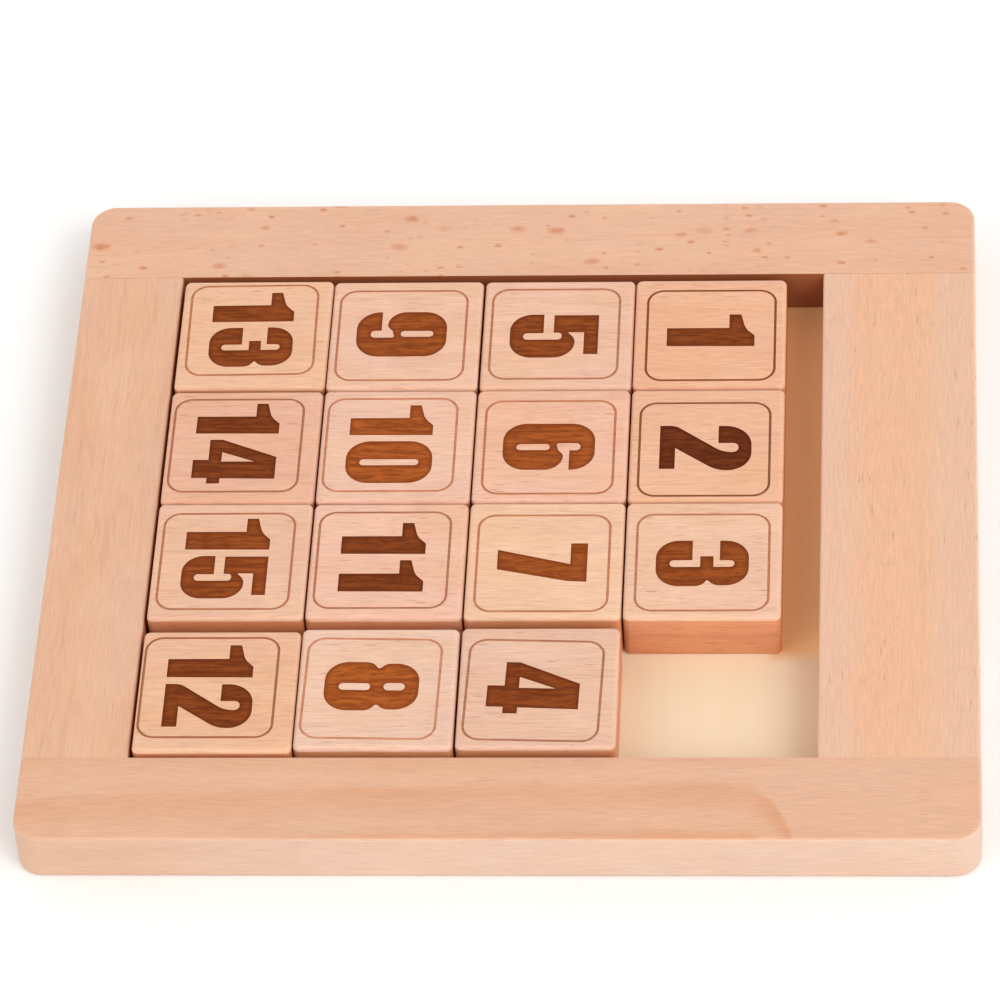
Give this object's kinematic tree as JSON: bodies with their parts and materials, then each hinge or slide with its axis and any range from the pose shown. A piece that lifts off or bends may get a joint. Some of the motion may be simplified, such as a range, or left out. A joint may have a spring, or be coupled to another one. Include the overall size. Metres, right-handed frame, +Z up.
{
  "type": "sliding tile puzzle",
  "caption": "Numbered sliding tile puzzle: loose square wooden tiles with burnt numerals in a shallow open tray with a wide header and one empty cell.",
  "frame": {"origin": "middle of the frame's outline, on the surface that the puzzle lies on", "axes": "+X across the tray from the left rail to the right rail, +Y from the foot of the numerals to their heads, towards the wide header, +Z up"},
  "size_m": [0.1656, 0.1774, 0.012],
  "materials": {
    "tile": "sanded, waxed beech, numerals and border line burnt in",
    "frame": "sanded, waxed beech",
    "panel": "pale sanded plywood",
    "dowel": "plain beech"
  },
  "bodies": {
    "root": {"left_rail": "frame", "right_rail": "frame", "bottom_rail": "frame", "header_rail": "frame", "base_panel": "panel", "bottom_left_dowels": "dowel", "bottom_right_dowels": "dowel", "header_left_dowels": "dowel", "header_right_dowels": "dowel"},
    "tile_01": {"tile_01": "tile"},
    "tile_02": {"tile_02": "tile"},
    "tile_03": {"tile_03": "tile"},
    "tile_04": {"tile_04": "tile"},
    "tile_05": {"tile_05": "tile"},
    "tile_06": {"tile_06": "tile"},
    "tile_07": {"tile_07": "tile"},
    "tile_08": {"tile_08": "tile"},
    "tile_09": {"tile_09": "tile"},
    "tile_10": {"tile_10": "tile"},
    "tile_11": {"tile_11": "tile"},
    "tile_12": {"tile_12": "tile"},
    "tile_13": {"tile_13": "tile"},
    "tile_14": {"tile_14": "tile"},
    "tile_15": {"tile_15": "tile"}
  },
  "joints": [
    {"name": "tile_03_across", "type": "slide", "parent": "root", "child": "tile_03", "axis": [1, 0, 0], "range_m": [-0.0019, 0.0327]},
    {"name": "tile_01_across", "type": "slide", "parent": "root", "child": "tile_01", "axis": [1, 0, 0], "range_m": [-0.0019, 0.0327]},
    {"name": "tile_02_across", "type": "slide", "parent": "root", "child": "tile_02", "axis": [1, 0, 0], "range_m": [-0.0019, 0.0327]},
    {"name": "tile_04_down", "type": "slide", "parent": "root", "child": "tile_04", "axis": [0, -1, 0], "range_m": [-0.0364, 0.0002]},
    {"name": "tile_08_down", "type": "slide", "parent": "root", "child": "tile_08", "axis": [0, -1, 0], "range_m": [-0.0364, 0.0002]},
    {"name": "tile_12_down", "type": "slide", "parent": "root", "child": "tile_12", "axis": [0, -1, 0], "range_m": [-0.0364, 0.0002]},
    {"name": "tile_05_lift", "type": "slide", "parent": "root", "child": "tile_05", "axis": [0, 0, 1], "range_m": [0, 0.02]},
    {"name": "tile_06_lift", "type": "slide", "parent": "root", "child": "tile_06", "axis": [0, 0, 1], "range_m": [0, 0.02]},
    {"name": "tile_07_lift", "type": "slide", "parent": "root", "child": "tile_07", "axis": [0, 0, 1], "range_m": [0, 0.02]},
    {"name": "tile_09_lift", "type": "slide", "parent": "root", "child": "tile_09", "axis": [0, 0, 1], "range_m": [0, 0.02]},
    {"name": "tile_10_lift", "type": "slide", "parent": "root", "child": "tile_10", "axis": [0, 0, 1], "range_m": [0, 0.02]},
    {"name": "tile_11_lift", "type": "slide", "parent": "root", "child": "tile_11", "axis": [0, 0, 1], "range_m": [0, 0.02]},
    {"name": "tile_13_lift", "type": "slide", "parent": "root", "child": "tile_13", "axis": [0, 0, 1], "range_m": [0, 0.02]},
    {"name": "tile_14_lift", "type": "slide", "parent": "root", "child": "tile_14", "axis": [0, 0, 1], "range_m": [0, 0.02]},
    {"name": "tile_15_lift", "type": "slide", "parent": "root", "child": "tile_15", "axis": [0, 0, 1], "range_m": [0, 0.02]}
  ],
  "couplings": [
    {"joint": "tile_01_across", "follows": "tile_03_across", "ratio": 1},
    {"joint": "tile_02_across", "follows": "tile_03_across", "ratio": 1},
    {"joint": "tile_08_down", "follows": "tile_04_down", "ratio": 1},
    {"joint": "tile_12_down", "follows": "tile_04_down", "ratio": 1}
  ]
}
